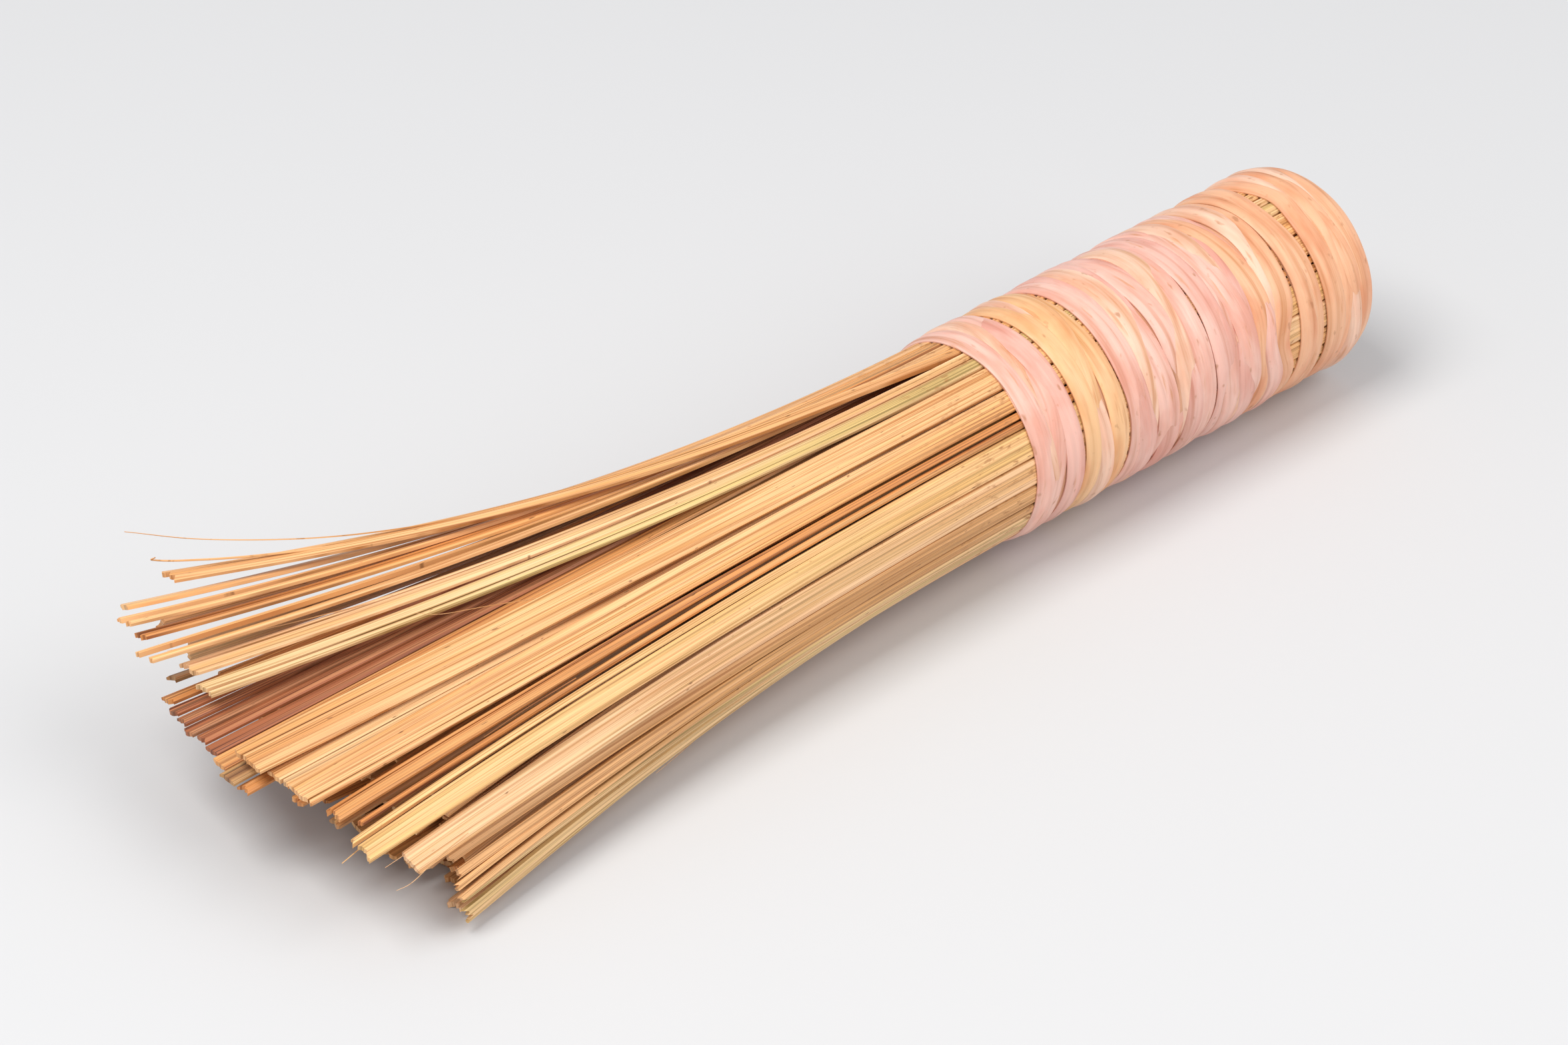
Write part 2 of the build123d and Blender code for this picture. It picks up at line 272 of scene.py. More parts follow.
# Each peel: the light of its streaks and the dark.
PEELS = {
    "pink": peel("peel_pink", (0.80, 0.485, 0.40), (0.60, 0.28, 0.18)),
    "rose": peel("peel_rose", (0.77, 0.45, 0.375), (0.60, 0.28, 0.20)),
    "cream": peel("peel_cream", (0.82, 0.53, 0.39), (0.62, 0.32, 0.17)),
    "peach": peel("peel_peach", (0.79, 0.43, 0.255), (0.58, 0.25, 0.10)),
    "yellow": peel("peel_yellow", (0.80, 0.48, 0.25), (0.60, 0.29, 0.10)),
    # under: the lowest layer, seen only between the strands; its darker, browner peel is partly its own
    # colour and partly painted shade for those gaps
    "under": peel("peel_under", (0.68, 0.36, 0.22), (0.34, 0.14, 0.06)),
}


# ---------------------------------------------------------------- reading the CAD strips


def solids_of(node):
    """The closed solids of a CAD node, each as an array of triangles (corner, xyz)."""
    mesh = frame["nodes"][node].data
    mesh.calc_loop_triangles()
    points = np.array([vertex.co[:] for vertex in mesh.vertices])
    corners = np.array([triangle.vertices[:] for triangle in mesh.loop_triangles])
    _, same = np.unique(np.round(points, 6), axis=0, return_inverse=True)
    corners = same.reshape(-1)[corners]
    label = np.arange(corners.max() + 1)
    while True:
        lowest = label[corners].min(axis=1)
        updated = label.copy()
        np.minimum.at(updated, corners.reshape(-1), np.repeat(lowest, 3))
        if (updated == label).all():
            break
        label = updated
    places = np.zeros((corners.max() + 1, 3))
    places[same.reshape(-1)] = points
    owners = label[corners[:, 0]]
    return [places[corners[owners == owner]] for owner in np.unique(owners)]


def cut_points(triangles, x):
    """Where a solid's triangles cross the plane at x, as (y, z) points."""
    points = []
    for first, second in ((0, 1), (1, 2), (2, 0)):
        a = triangles[:, first]
        b = triangles[:, second]
        crossing = (a[:, 0] - x) * (b[:, 0] - x) < 0
        share = (x - a[crossing, 0]) / (b[crossing, 0] - a[crossing, 0])
        points.append(a[crossing, 1:] + (b[crossing, 1:] - a[crossing, 1:]) * share[:, None])
    return np.concatenate(points)


BOX_TURNS = 180                  # directions tried in a quarter turn


def box_of_cut(points, towards):
    """The smallest rectangle round a cut: middle, its side's direction nearest to towards, width
    and thickness."""
    best = None
    for step in range(BOX_TURNS):
        turn = math.pi / 2 * step / BOX_TURNS
        across = np.array((math.cos(turn), math.sin(turn)))
        over = np.array((-math.sin(turn), math.cos(turn)))
        run = points @ across
        rise = points @ over
        area = (run.max() - run.min()) * (rise.max() - rise.min())
        if best is None or area < best[0]:
            best = (area, across, over, run, rise)
    _, across, over, run, rise = best
    middle = across * (run.max() + run.min()) / 2 + over * (rise.max() + rise.min()) / 2
    sizes = (run.max() - run.min(), rise.max() - rise.min())
    choices = [(across, sizes[1], sizes[0]), (-across, sizes[1], sizes[0])]
    choices += [(over, sizes[0], sizes[1]), (-over, sizes[0], sizes[1])]
    facing, width, thickness = max(choices, key=lambda choice: choice[0] @ towards)
    return middle, facing, width, thickness


class Path:
    """A splint's middle line, facing, width and thickness along its length, smoothed."""

    SAMPLES = 15                 # cuts between the mouth and the tip
    DEGREE = 4                   # of the polynomials through them

    def __init__(self, solids):
        self.tip_x = min(solid[:, :, 0].min() for solid in solids)
        self.butt_x = max(solid[:, :, 0].max() for solid in solids)
        places = np.linspace(MOUTH_X - JUST_OFF, self.tip_x + JUST_OFF, self.SAMPLES)
        rows = []
        facing = None
        for x in places:
            x = x + JUST_OFF if abs(x - FLEX_X) < JUST_OFF else x
            solid = next(s for s in solids if s[:, :, 0].min() < x < s[:, :, 0].max())
            points = cut_points(solid, x)
            if facing is None:
                facing = points.mean(axis=0) - np.array((AXIS_Y, AXIS_Z))
            middle, facing, width, thickness = box_of_cut(points, facing)
            rows.append((*middle, math.atan2(facing[1], facing[0]), width, thickness))
        rows = np.array(rows)
        rows[:, 2] = np.unwrap(rows[:, 2])
        shares = (MOUTH_X - places) / (MOUTH_X - self.tip_x)
        self.fits = [np.polyfit(shares, rows[:, column], self.DEGREE) for column in range(5)]
        self.mouth = rows[0]
        self.width = rows[:, 3].max()
        self.butt = self.butt_cut(solids)

    def butt_cut(self, solids):
        """The splint's cut just inside its butt end."""
        solid = max(solids, key=lambda s: s[:, :, 0].max())
        points = cut_points(solid, self.butt_x - JUST_OFF)
        outwards = np.array((math.cos(self.mouth[2]), math.sin(self.mouth[2])))
        middle, facing, width, thickness = box_of_cut(points, outwards)
        return np.array((*middle, self.mouth[2], width, thickness))

    def share(self, x):
        """How far along the free length x is: 0 at the mouth and 1 at the tip."""
        return (MOUTH_X - x) / (MOUTH_X - self.tip_x)

    def at(self, x):
        """Middle (y, z), facing angle, width and thickness at x."""
        if x >= self.butt_x - RIM_LENGTH:
            inward = max(0.0, (x - self.butt_x + RIM_LENGTH) / RIM_LENGTH) ** RIM_CURVE
            return self.mouth + (self.butt - self.mouth) * inward
        if x >= MOUTH_X:
            return self.mouth
        return np.array([np.polyval(fit, self.share(x)) for fit in self.fits])


# ---------------------------------------------------------------- strips


SHARP_ANGLE = math.radians(34.0)
WHOLE = (-1.0, 1.0)              # a part that fills its splint's whole width
SPLIT_WIDTH = 0.05 * MM          # the crack where a splint has split lengthwise
VISUAL_THICKNESS = 0.72          # the free splints are this much of the CAD's thickness
THINNED_BY = 0.25                # and have thinned to that by this share of their free length
TWIST = 0.10                     # radians that a splint may turn on itself by its tip
LIFT = 0.6                       # how far it sways up and down, as a share of its sway sideways
WIDTH_CHANGE = 0.05              # how much its width varies, as a share
RIDGE = 0.045 * MM               # the height of the ridges along its fibres
ROUNDED_FROM = 0.72              # its edges round off over the rest of its half width
CRACKED_FROM = 0.80              # and the edges of a split part over the rest of that part's
EDGE_DROP = 0.30                 # how far the edges drop on top, as a share of half the thickness
CRACK_DROP = 0.06                # and beside a split
EDGE_RISE = 0.24                 # and how far they rise below
TORN_FROM = 0.93                 # its end is torn over the rest of its free length


class Builder:
    """Collects the vertices, faces and strip coordinates of one mesh object."""

    def __init__(self):
        self.vertices = []
        self.faces = []
        self.coordinates = []      # (across, along) in millimetres, one per vertex
        self.slots = []

    def grid(self, rings, marks, slot, closed_ends=True):
        """Adds a tube through rings of points, with the points' coordinates. Each ring has the same
        number of points, in order: over the strip one way, and back below it."""
        first = len(self.vertices)
        around = len(rings[0])
        for ring, mark_row in zip(rings, marks):
            self.vertices.extend(ring)
            self.coordinates.extend(mark_row)
        for row in range(len(rings) - 1):
            for k in range(around):
                a = first + row * around + k
                b = first + row * around + (k + 1) % around
                self.faces.append((a, b, b + around, a + around))
                self.slots.append(slot)
        if closed_ends:
            half = around // 2
            for row, turned in ((0, True), (len(rings) - 1, False)):
                start = first + row * around
                for k in range(half - 1):
                    face = (start + k, start + k + 1, start + around - 2 - k, start + around - 1 - k)
                    self.faces.append(face[::-1] if turned else face)
                    self.slots.append(slot)

    def make(self, name, materials):
        """Turns what was collected into a linked object."""
        mesh = bpy.data.meshes.new(name)
        mesh.from_pydata(self.vertices, [], self.faces)
        mesh.update()
        layer = mesh.uv_layers.new(name="UVMap")
        loops = np.zeros(len(mesh.loops), dtype=np.int32)
        mesh.loops.foreach_get("vertex_index", loops)
        layer.data.foreach_set("uv", np.array(self.coordinates)[loops].astype(np.float32).ravel())
        for material in materials:
            mesh.materials.append(material)
        mesh.polygons.foreach_set("material_index", np.array(self.slots, dtype=np.int32))
        mesh.polygons.foreach_set("use_smooth", np.ones(len(mesh.polygons), dtype=bool))
        mesh.set_sharp_from_angle(angle=SHARP_ANGLE)
        made = bpy.data.objects.new(name, mesh)
        bpy.context.scene.collection.objects.link(made)
        return made


def wander(seed, share, pace):
    """A smooth random value between about -1 and 1 along a splint."""
    return noise.noise(Vector((share * pace, seed * 13.37, 4.2)))


def strip_section(path, x, lateral, seed, shape):
    """One ring of a strip at x, as (y, z, millimetres across): over its top, and back below it."""
    y, z, turn, width, thickness = path.at(x)
    share = max(0.0, path.share(x))
    outwards = np.array((math.cos(turn), math.sin(turn)))
    turn += TWIST * wander(seed + 3, share, 2.5) * share
    over = np.array((math.cos(turn), math.sin(turn)))
    across = np.array((over[1], -over[0]))
    middle = np.array((y, z)) + across * shape.sway * wander(shape.family, share, 3.0) * share
    middle = middle + outwards * LIFT * shape.sway * wander(shape.family + 1, share, 2.2) * share
    left, right = shape.part
    parting = shape.splay * share**2 * (left + right) / 2
    lift = 0.5 * shape.splay * share**2 * wander(seed + 5, share, 2.0)
    width *= 1.0 + WIDTH_CHANGE * wander(shape.family + 2, share, 4.0) + shape.widen * share
    if shape.part != WHOLE:
        width -= SPLIT_WIDTH
    free_thickness = thickness * (1.0 - (1.0 - VISUAL_THICKNESS) * min(1.0, share / THINNED_BY))
    top = []
    bottom = []
    for k in range(lateral + 1):
        own = 2.0 * k / lateral - 1.0
        q = left + (right - left) * k / lateral
        edge = max(0.0, abs(q) - ROUNDED_FROM) / (1.0 - ROUNDED_FROM)
        crack = max(0.0, abs(own) - CRACKED_FROM) / (1.0 - CRACKED_FROM)
        ridge = RIDGE * wander(seed + 7 + k * 0.61, share, 1.5)
        rise = thickness / 2 * (1.0 - EDGE_DROP * edge**2 - CRACK_DROP * crack**2)
        rise += shape.crown * (1.0 - q * q) + ridge + lift
        fall = free_thickness - thickness / 2 * (1.0 + EDGE_RISE * edge**2) + ridge - lift
        place = middle + across * (q * width / 2 + parting - own * SPLIT_WIDTH / 4)
        top.append((*(place + over * rise), q * width / 2 / MM))
        bottom.append((*(place - over * fall), q * width / 2 / MM))
    return top + bottom[::-1]


def tip_shift(seed, q, rough, slant):
    """How far the cut end runs past (negative) or short of (positive) the splint's nominal tip."""
    coarse = noise.noise(Vector((q * 1.4, seed * 3.1, 1.0)))
    fine = noise.noise(Vector((q * 7.5, seed * 5.7, 8.0)))
    return rough * (0.8 * coarse + 0.55 * fine) + slant * q


class Shape(NamedTuple):
    """How a strip departs from its CAD splint."""

    part: tuple = WHOLE          # the stretch of its width that it fills, from -1 to 1
    family: float = 0.0          # seed of the sway, shared by the parts of one splint
    sway: float = 0.4 * MM       # how far it wanders sideways by its tip
    crown: float = 0.10 * MM     # how far its middle stands over its edges
    widen: float = 0.0           # how much wider than the CAD splint it is at its tip, as a share
    splay: float = 0.0           # how far split parts stand from each other at the tip
    rough: float = 0.5 * MM      # how uneven its torn end is
    slant: float = 0.0           # how much sooner its end stops at 1 across it than at its middle
    short: float = 0.0           # how much sooner than the CAD splint it ends


BUTT_RINGS = (0.0, 0.4, 2.0, 4.0)        # millimetres from the butt end, where the strip leans in


def add_strip(builder, path, seed, slot, lateral, rings, shape):
    """A strip: straight in the binding, bending and widening outside it, with a torn end."""
    places = [path.butt_x - inward * MM for inward in BUTT_RINGS]
    places += [path.butt_x - RIM_LENGTH, MOUTH_X + 1 * MM]
    places += list(np.linspace(MOUTH_X, path.tip_x, rings))
    rows = []
    marks = []
    for x in places:
        section = strip_section(path, x, lateral, seed, shape)
        reach = max(0.0, path.share(x) - TORN_FROM) / (1.0 - TORN_FROM)
        row = []
        mark = []
        for k, (y, z, across) in enumerate(section):
            q = 2.0 * (k if k <= lateral else 2 * lateral + 1 - k) / lateral - 1.0
            shift = reach**2 * (tip_shift(seed, q, shape.rough, shape.slant) + shape.short)
            row.append((x + shift, y, max(z, 0.0)))
            mark.append((across + shape.family * 31.0, (x + shift) / MM))
        rows.append(row)
        marks.append(mark)
    builder.grid(rows, marks, slot)


HAIR_SIDES = 5
HAIR_TAPER = 0.6                 # how much thinner a hair is at its end, as a share
NO_HAIR_AHEAD = Vector((0.13, 0.31, 0.94))       # any direction that no hair runs in


def add_hair(builder, points, radius, slot, seed):
    """A loose bamboo hair through points."""
    line = smooth_line([Vector(point) for point in points], per_run=9)
    rows = []
    marks = []
    for index, place in enumerate(line):
        ahead = line[min(index + 1, len(line) - 1)] - line[max(index - 1, 0)]
        ahead.normalize()
        side = ahead.cross(NO_HAIR_AHEAD).normalized()
        over = side.cross(ahead)
        thinned = radius * (1.0 - HAIR_TAPER * index / (len(line) - 1))
        row = []
        for k in range(HAIR_SIDES):
            turn = 2 * math.pi * k / HAIR_SIDES
            row.append(tuple(place + (side * math.cos(turn) + over * math.sin(turn)) * thinned))
        rows.append(row)
        marks.append([(k * 0.1 + seed, index * 2.0) for k in range(HAIR_SIDES)])
    builder.grid(rows, marks, slot)


class Hair(NamedTuple):
    """A hair that peels off a splint. Offsets are (back from the tip, left, up) in millimetres."""

    offsets: tuple
    radius: float                # millimetres, where it leaves the splint


HAIRS = {
    "left_2": (
        Hair(((58, 0, 0.4), (40, 0.6, 1.0), (24, 1.8, 2.2), (8, 4.2, 4.6), (-4, 7.4, 8.4)), 0.2),
        Hair(((30, -0.5, 0.6), (14, 0.4, 1.4), (3, 1.4, 2.4), (-2.2, 1.6, 4.2), (-2.0, 1.0, 5.0)), 0.3),
    ),
    "left_1": (Hair(((34, 1.0, 0.6), (22, 2.0, 1.2), (10, 3.8, 1.4), (-1, 5.0, 2.2)), 0.12),),
    "top_6": (Hair(((62, 3.4, 0.6), (52, 5.4, 3.0), (44, 7.0, 4.8), (39, 7.4, 7.6)), 0.09),),
    "right_5": (
        Hair(((12, -2.2, 0.4), (4, -3.0, 0.5), (-3, -4.4, 0.3), (-7, -4.9, 0.9)), 0.11),
        Hair(((16, 1.0, 0.5), (5, 1.6, 0.9), (-4.5, 1.5, 0.8)), 0.14),
    ),
    "top_1": (Hair(((14, 1.6, -0.6), (6, 2.2, -0.9), (-3.5, 1.6, -1.9)), 0.22),),
    "top_3": (Hair(((52, -3.0, 0.8), (40, -4.0, 1.8), (30, -4.2, 1.4)), 0.10),),
    "right_1": (Hair(((70, 0.0, -1.2), (58, -2.2, -0.6), (48, -4.0, 0.4)), 0.10),),
}


def add_hairs(builder, path, hairs):
    """The loose hairs of one splint. Each starts on the splint and leaves it."""
    for index, hair in enumerate(hairs):
        points = []
        for back, left, up in hair.offsets:
            x = path.tip_x + back * MM
            y, z = path.at(max(x, path.tip_x))[:2]
            points.append((x, y + left * MM, z + up * MM))
        add_hair(builder, points, hair.radius * MM, 0, index * 0.7)


def smooth_line(points, per_run):
    """Points on a Catmull-Rom curve through the given ones."""
    ends = [points[0] * 2 - points[1], *points, points[-1] * 2 - points[-2]]
    line = []
    for p0, p1, p2, p3 in zip(ends, ends[1:], ends[2:], ends[3:]):
        for step in range(per_run):
            t = step / per_run
            line.append(
                0.5
                * (
                    p1 * 2
                    + (p2 - p0) * t
                    + (p0 * 2 - p1 * 5 + p2 * 4 - p3) * t * t
                    + (p1 * 3 - p0 - p2 * 3 + p3) * t * t * t
                )
            )
    line.append(points[-1])
    return line


class Look(NamedTuple):
    """How an outer splint looks. Splay, rough and slant are as in Shape, but in millimetres."""

    tint: str
    splits: tuple = ()           # where it has split lengthwise: places across it, from -1 to 1
    splay: float = 0.5
    rough: float = 0.7
    slant: float = 0.0
    widen: float = 0.0


OUTER_LOOKS = {
    "right_1": Look("pale", (0.0,), 1.5, 2.2),
    "right_2": Look("green", (0.3,), 1.4, 1.8),
    "right_3": Look("dull", (0.0,), 0.8, 1.4),
    "right_4": Look("dull", (-0.1,), 1.3, 2.0),
    "right_5": Look("pale", (), 0.0, 0.9, -0.3, -0.14),
    "top_1": Look("yellow", (0.5,), 0.7, 1.2, 0.3, -0.20),
    "top_2": Look("orange", (), 0.0, 1.2, 0.0, -0.30),
    "top_3": Look("orange", (0.5,), 0.3, 1.2, 0.3, -0.28),
    "top_4": Look("tan", (-0.7,), 0.2, 0.6, 0.2),
    "top_5": Look("amber", (-0.3,), 0.2, 0.7, 0.1),
    "top_6": Look("tan", (0.42,), 0.15, 0.7, 0.2),
    "top_7": Look("green", (-0.45,), 0.8, 1.0),
    "left_1": Look("pale", (0.35,), 0.5, 0.9),
    "left_2": Look("tan", (0.25,), 0.5, 1.3),
    "left_3": Look("tan", (0.0,), 3.2, 0.8),
    "left_4": Look("orange", (0.1,), 1.2, 1.4),
    "left_5": Look("tan", (0.0,), 2.2, 0.7),
    "left_6": Look("amber", (), 0.0, 0.6),
}
HIDDEN_LOOKS = (Look("tan", (0.2,), 0.7, 1.2), Look("pale", (-0.2,), 0.9, 1.4), Look("orange"))
OUTER_RINGS = 64
INNER_RINGS = 40
CORE_RINGS = 30
INNER_LATERAL = 6                # faces across an inner splint
CORE_LATERAL = 5                 # and across the stick on the axis
CORE_SEED = 77.0


def outer_splints():
    """Every outer splint, from its butt to its tip, following its shank and its tine in the CAD."""
    shanks = {}
    for node in frame["nodes"]:
        if node.startswith("shank_"):
            shanks[node] = solids_of(node)
    tines = sorted(node for node in frame["nodes"] if node.startswith("tine_"))
    for number, node in enumerate(tines):
        name = node[len("tine_"):]
        body = bodies_of_nodes[node]
        shank_node = "shank_" + body[len("sheaf_"):]
        tine = solids_of(node)[0]
        root = cut_points(tine, FLEX_X - JUST_OFF).mean(axis=0)
        shank = min(
            shanks[shank_node],
            key=lambda solid: np.linalg.norm(cut_points(solid, FLEX_X + JUST_OFF).mean(axis=0) - root),
        )
        look = OUTER_LOOKS.get(name, HIDDEN_LOOKS[number % len(HIDDEN_LOOKS)])
        path = Path([shank, tine])
        builder = Builder()
        limits = [-1.0, *look.splits, 1.0]
        for index, part in enumerate(zip(limits, limits[1:])):
            shape = Shape(part, number + 0.5, splay=look.splay * MM, rough=look.rough * MM,
                          slant=look.slant * MM, widen=look.widen)
            lateral = max(4, round((part[1] - part[0]) * path.width / MM))
            add_strip(builder, path, number + 0.5 + index * 0.37, 0, lateral, OUTER_RINGS, shape)
        if name in HAIRS:
            add_hairs(builder, path, HAIRS[name])
        piece = builder.make(f"splint_{name}", [TINTS[look.tint]])
        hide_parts(node, shank_node)
        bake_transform(piece)


# The second layer's tints, one for each splint from its left end to its right. Their red is darkened as
# painted shade.
SECOND_TINTS = ("brown", "orange", "orange", "brown", "orange",
                "red", "red", "red", "red", "red", "orange", "brown")
INNER_TINTS = ("tan", "orange", "brown", "pale")


def angle_round_axis(solid):
    """The angle of a splint's middle at the mouth, seen along the bundle's axis."""
    y, z = cut_points(solid, MOUTH_X).mean(axis=0) - np.array((AXIS_Y, AXIS_Z))
    return math.atan2(z, y)


def inner_splints():
    """The splints inside the bundle, one object for each CAD node."""
    inner = [node for node in frame["nodes"] if node.startswith("inner_ring_")]
    for node in ["second_ring_top", *sorted(inner)]:
        builder = Builder()
        top_layer = node == "second_ring_top"
        tints = list(dict.fromkeys(SECOND_TINTS if top_layer else INNER_TINTS))
        for index, solid in enumerate(sorted(solids_of(node), key=angle_round_axis, reverse=True)):
            if top_layer:
                slot = tints.index(SECOND_TINTS[index])
            else:
                slot = (index * 7 + len(node)) % len(tints)
            # Any number will do that differs from splint to splint.
            seed = index + 40.5 + 20 * len(builder.vertices) / 9973
            short = 3.0 * MM * abs(noise.noise(Vector((seed, 2.0, 9.0))))
            shape = Shape(family=seed, sway=0.25 * MM, crown=0.0, rough=1.2 * MM, short=short,
                          widen=0.22 if top_layer else 0.10)
            add_strip(builder, Path([solid]), seed, slot, INNER_LATERAL, INNER_RINGS, shape)
        piece = builder.make(f"{node}_splints", [TINTS[tint] for tint in tints])
        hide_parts(node)
        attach(piece, HANDLE)
    builder = Builder()
    core = Path(solids_of("core_stick"))
    add_strip(builder, core, CORE_SEED, 0, CORE_LATERAL, CORE_RINGS, Shape(family=CORE_SEED, crown=0.0))
    piece = builder.make("core_stick_splint", [TINTS["pale"]])
    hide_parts("core_stick")
    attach(piece, HANDLE)


# ---------------------------------------------------------------- binding


class Notch(NamedTuple):
    """A place where the edge of a band stands back, so that splints show. Angles are degrees."""

    side: int                # 1 for the edge towards the butt, -1 for the one towards the mouth
    angle: float             # where round the handle it is deepest
    spread: float            # how far to each side it fades out
    depth: float             # millimetres


class Band(NamedTuple):
    """How one band is wound. Its first and last strands follow its edges and the rest cross."""

    peels: tuple             # one for each strand, from the mouth's side to the butt's
    width: float             # of a strand, in millimetres
    swing: float             # how far the crossing strands wander along the handle, in millimetres
    phase: float             # turns the pattern of their crossings round the handle, in degrees
    notches: tuple = ()


BANDS = (
    Band(("pink", "cream", "pink", "rose"), 5.2, 2.9, 60.0),
    Band(("yellow", "cream", "yellow", "yellow"), 4.9, 2.6, 25.0),
    Band(("pink", "rose", "cream", "pink", "rose", "pink", "rose", "cream", "pink"), 5.6, 2.2, 80.0),
    Band(("rose", "pink", "cream", "pink", "rose", "peach", "pink", "cream", "peach"), 5.6, 2.2, 130.0,
         (Notch(1, 7.0, 17.0, 3.4),)),
    Band(("peach", "peach", "peach"), 4.4, 0.8, 40.0, (Notch(1, 80.0, 26.0, 1.5),)),
    Band(("peach", "cream", "peach", "peach", "cream", "peach"), 5.2, 1.7, 100.0,
         (Notch(-1, 84.0, 15.0, 1.3),)),
)
UNDER_DEPTH = 1.08 * MM          # from the outside of the binding to its lowest layer
CREASE = 0.16 * MM               # the depth of a strand's lengthwise creases
DOME = 0.60 * MM                 # a strand's middle stands this far over its edges
CROSSING = 0.38 * MM             # a strand that rides over another is this much higher
STRAND_SOLE = 0.25 * MM          # the thickness of a strand's edges
TUCK = 0.72 * MM                 # how deep a strand dives where it goes under the others
TUCK_SPREAD = 24.0               # and over how many degrees to each side
WIDTH_SWELL = 0.22               # how much a strand's width varies, as a share
EDGE_SWING = 0.35 * MM           # how far the strands at a band's edges wander along the handle
RIPPLE = 0.22                    # a smaller, quicker wandering on top, as a share of the swing
UNDER_INSET = 0.5 * MM           # the lowest layer ends this far inside its band's ends
SEAM = math.radians(265.0)       # the turns start and end underneath
RIM_WIDTH = 1.5 * MM             # a narrow sleeve round the splints' ends at the butt
RIM_INSET = 0.2 * MM             # it ends this far inside the butt
STRAND_INSET = 0.3 * MM          # and no strand comes nearer to the butt than this
RIM_LEAN = 1.1 * MM              # how far the binding leans in at the butt
STRAND_STEPS = 150
STRAND_ACROSS = 10
# A section's points: (share of its width, whether it is on the underside), over it and back below.
STRAND_TOP = [(k / STRAND_ACROSS, False) for k in range(STRAND_ACROSS + 1)]
STRAND_SECTION = STRAND_TOP + [(share, True) for share, _ in reversed(STRAND_TOP)]


def under_radius(x):
    """The outside of the binding's lowest layer at x. It leans in a little at the butt's rim."""
    over = max(0.0, x - (BUTT_X - RIM_LENGTH)) / RIM_LENGTH
    return WRAP_RADIUS - UNDER_DEPTH - RIM_LEAN * over**RIM_CURVE


def hump(turn, angle, spread):
    """A smooth bump around an angle, 1 at its top. Angle and spread are degrees."""
    away = (math.degrees(turn) - angle + 180.0) % 360.0 - 180.0
    return math.exp(-((away / spread) ** 2))


def on_handle(x, radius, turn):
    """The point at x, at this radius and angle round the axis."""
    return (x, AXIS_Y - radius * math.cos(turn), AXIS_Z + radius * math.sin(turn))


def add_sleeve(builder, section, slot):
    """A closed turn round the handle. Section gives an angle's (x, radius, coordinates) list."""
    rows = []
    marks = []
    for step in range(STRAND_STEPS + 1):
        turn = SEAM + 2 * math.pi * step / STRAND_STEPS
        points = section(turn)
        rows.append([on_handle(x, radius, turn) for x, radius, _ in points])
        marks.append([coordinates for _, _, coordinates in points])
    builder.grid(rows, marks, slot, closed_ends=False)


def strand_section(centre, width, level, seed):
    """A turn of peel strip. Centre and level are functions of the angle round the axis."""
    def section(turn):
        circle = Vector((math.cos(turn), math.sin(turn), seed * 2.7))
        half = width / 2 * (1.0 + WIDTH_SWELL * noise.noise(circle * 1.3))
        along = turn * WRAP_RADIUS / MM + seed * 7.0
        points = []
        for share, below in STRAND_SECTION:
            q = 2.0 * share - 1.0
            x = min(centre(turn) + q * half, BUTT_X - STRAND_INSET)
            radius = under_radius(x) + level(turn)
            if below:
                radius -= STRAND_SOLE
            else:
                crease = noise.noise(Vector((q * 1.5, seed, 0.0)) + circle * 0.7) * (1.0 - q * q)
                radius += DOME * (1.0 - q * q) ** 0.55 + CREASE * crease
            points.append((x, radius, (q * half / MM + seed * 23.0, along)))
        return points
    return section


def under_section(start, end, edge, seed):
    """The lowest layer of a band: a thin sleeve whose edges stand back at the notches. Its darker peel
    is partly its own colour and partly painted shade for the gaps between strands.
    """
    def section(turn):
        low = start + edge(turn, -1)
        high = end - edge(turn, 1)
        points = []
        for share, below in STRAND_SECTION:
            x = low + (high - low) * share
            radius = under_radius(x) - (STRAND_SOLE if below else 0.0)
            points.append((x, radius, (x / MM + seed * 23.0, turn * WRAP_RADIUS / MM)))
        return points
    return section


def edge_setback(notches):
    """A function: how far the band's edge on one side stands back at an angle."""
    def setback(turn, side):
        depths = [n.depth * MM * hump(turn, n.angle, n.spread) for n in notches if n.side == side]
        return sum(depths)
    return setback


def strand_centre(middle, share, swing, phase, waves, setback):
    """A function: where a strand's middle is at an angle. It swings along the handle, and keeps
    out of the band's notches."""
    def centre(turn):
        swung = swing * math.sin(waves * turn + phase)
        ripple = RIPPLE * swing * math.sin(3 * turn + 2.1 * phase)
        keep_out = (1.0 - share) ** 2 * setback(turn, -1) - share**2 * setback(turn, 1)
        return middle + swung + ripple + keep_out
    return centre


def strand_level(phase, tucked):
    """A function: how high a strand rides at an angle. A crossing strand dives once, at tucked."""
    def level(turn):
        ride = CROSSING * (0.5 + 0.5 * math.sin(2 * turn + phase))
        if tucked is None:
            return ride
        under = hump(turn, tucked, TUCK_SPREAD)
        return ride * (1.0 - under) - TUCK * under
    return level


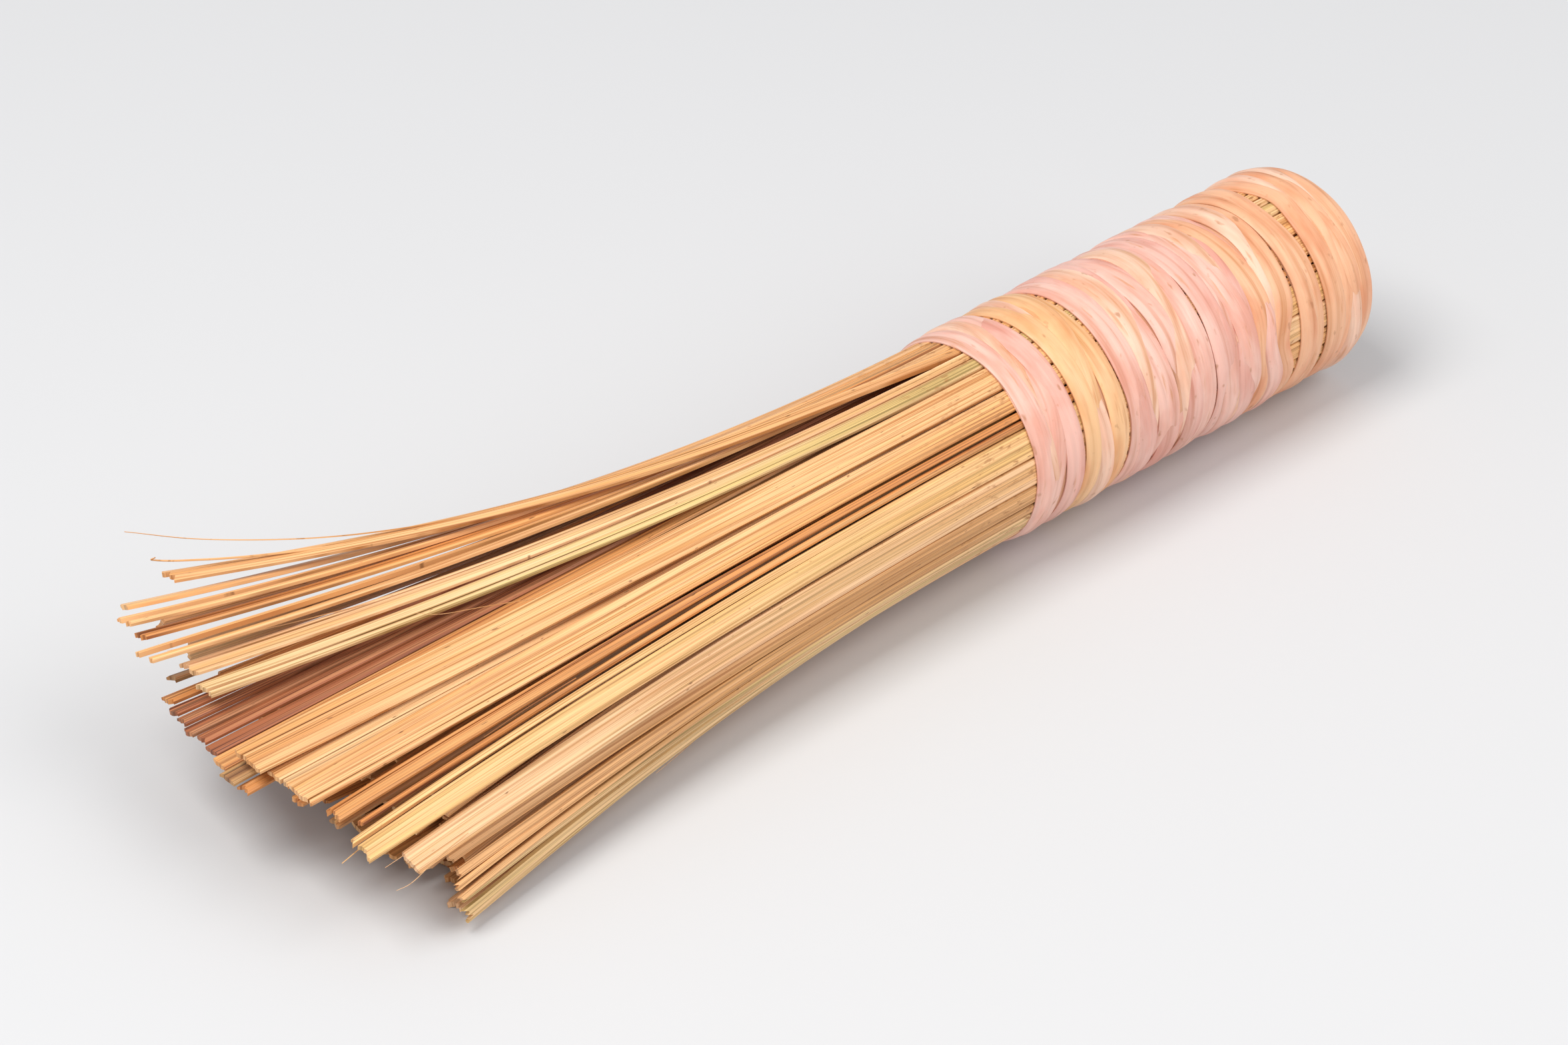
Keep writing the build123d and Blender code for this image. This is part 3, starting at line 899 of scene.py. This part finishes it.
def binding():
    """Each band of the binding as a lowest layer and crossing turns of peel strip over it."""
    for number, band in enumerate(BANDS, start=1):
        low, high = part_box(f"binding_{number}")
        start = low[0]
        end = high[0]
        length = end - start
        chance = random.Random(100 + number)
        builder = Builder()
        setback = edge_setback(band.notches)
        tints = [*dict.fromkeys(band.peels), "under"]
        under = tints.index("under")
        lowest = under_section(start + UNDER_INSET, end - UNDER_INSET, setback, number)
        add_sleeve(builder, lowest, under)
        last = len(band.peels) - 1
        inset = band.width * MM / 2
        for index, peel_name in enumerate(band.peels):
            share = index / last
            middle = start + inset + (length - 2 * inset) * share
            follows_edge = index in (0, last)
            waves = 1 + index % 2
            swing = EDGE_SWING if follows_edge else band.swing * MM / waves**0.5
            phase = math.radians(band.phase) + index * 2.2 + chance.uniform(-0.3, 0.3)
            tucked = None if follows_edge else chance.uniform(0.0, 360.0)
            centre = strand_centre(middle, share, swing, phase, waves, setback)
            level = strand_level(index * 2.4 + chance.uniform(-0.4, 0.4), tucked)
            strand = strand_section(centre, band.width * MM, level, number * 10 + index)
            add_sleeve(builder, strand, tints.index(peel_name))
        if number == len(BANDS):
            rim = under_section(BUTT_X - RIM_WIDTH, BUTT_X - RIM_INSET, edge_setback(()), number + 1)
            add_sleeve(builder, rim, under)
        piece = builder.make(f"binding_{number}_strands", [PEELS[tint] for tint in tints])
        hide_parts(f"binding_{number}")
        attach(piece, HANDLE)


# ---------------------------------------------------------------- stage


FLOOR_SIZE = 6.0
CAMERA_AZIMUTH = math.radians(42.15)     # how far it is turned from +Y towards +X
CAMERA_ELEVATION = math.radians(36.0)
CAMERA_DISTANCE = 0.9955
CAMERA_LENS = 115.87                     # millimetres, on a sensor 36 mm wide
CAMERA_RIGHT = -0.03454                  # how far to the right of the binding's mouth it looks
CAMERA_UP = -0.01577                     # and how far above it
LIT_HEIGHT = 0.02                        # the lights look at the brush's middle, this high


class Light(NamedTuple):
    """A square area light. Its place is in metres from the middle of the brush."""

    name: str
    right: float             # to the camera's right
    above: float
    nearer: float            # against the direction that the camera looks in
    size: float
    power: float             # watts
    colour: tuple


LIGHTS = (
    Light("key", -0.50, 0.95, 0.45, 0.70, 14.0, (1.0, 0.975, 0.93)),
    Light("fill", 0.9, 0.6, 0.5, 1.0, 9.0, (1.0, 0.96, 0.91)),
)


def stage():
    """A plain pale floor and the soft light of a studio."""
    bpy.ops.mesh.primitive_plane_add(size=FLOOR_SIZE, location=(0, 0, 0))
    floor = bpy.context.object
    floor.name = "floor"
    material, _, shader = new_material("floor_pale")
    shader.inputs["Base Color"].default_value = (0.62, 0.63, 0.65, 1.0)
    shader.inputs["Roughness"].default_value = 0.75
    floor.data.materials.append(material)
    world = bpy.data.worlds.new("studio")
    bpy.context.scene.world = world
    world.use_nodes = True
    background = world.node_tree.nodes["Background"]
    background.inputs["Color"].default_value = (0.96, 0.97, 1.0, 1.0)
    background.inputs["Strength"].default_value = 0.52


def camera():
    """Sets the camera, which looks down at the brush from the right of its fan. Gives the
    directions to its right and ahead of it."""
    right = Vector((math.cos(CAMERA_AZIMUTH), -math.sin(CAMERA_AZIMUTH), 0.0))
    ahead = Vector((math.cos(CAMERA_ELEVATION) * math.sin(CAMERA_AZIMUTH),
                    math.cos(CAMERA_ELEVATION) * math.cos(CAMERA_AZIMUTH),
                    -math.sin(CAMERA_ELEVATION)))
    up = right.cross(ahead)
    mouth = Vector((MOUTH_X, AXIS_Y, AXIS_Z))
    data = bpy.data.cameras.new("camera")
    data.lens = CAMERA_LENS
    data.sensor_width = 36.0
    data.clip_start = 0.05
    made = bpy.data.objects.new("camera", data)
    bpy.context.scene.collection.objects.link(made)
    place = mouth + right * CAMERA_RIGHT + up * CAMERA_UP - ahead * CAMERA_DISTANCE
    turn = Matrix((right, up, -ahead)).transposed()
    made.matrix_world = Matrix.Translation(place) @ turn.to_4x4()
    bpy.context.scene.camera = made
    return right, ahead


def lights(right, ahead):
    """The area lights, which all look at the middle of the brush."""
    target = Vector(((cad_low[0] + cad_high[0]) / 2, 0.0, LIT_HEIGHT))
    for light in LIGHTS:
        data = bpy.data.lights.new(light.name, "AREA")
        data.size = light.size
        data.energy = light.power
        data.color = light.colour
        lamp = bpy.data.objects.new(light.name, data)
        bpy.context.scene.collection.objects.link(lamp)
        place = target + right * light.right + Vector((0, 0, light.above)) - ahead * light.nearer
        lamp.location = place
        lamp.rotation_mode = "QUATERNION"
        lamp.rotation_quaternion = (target - place).to_track_quat("-Z", "Y")


outer_splints()
inner_splints()
binding()
stage()
lights(*camera())
bpy.context.scene.view_settings.view_transform = "Standard"
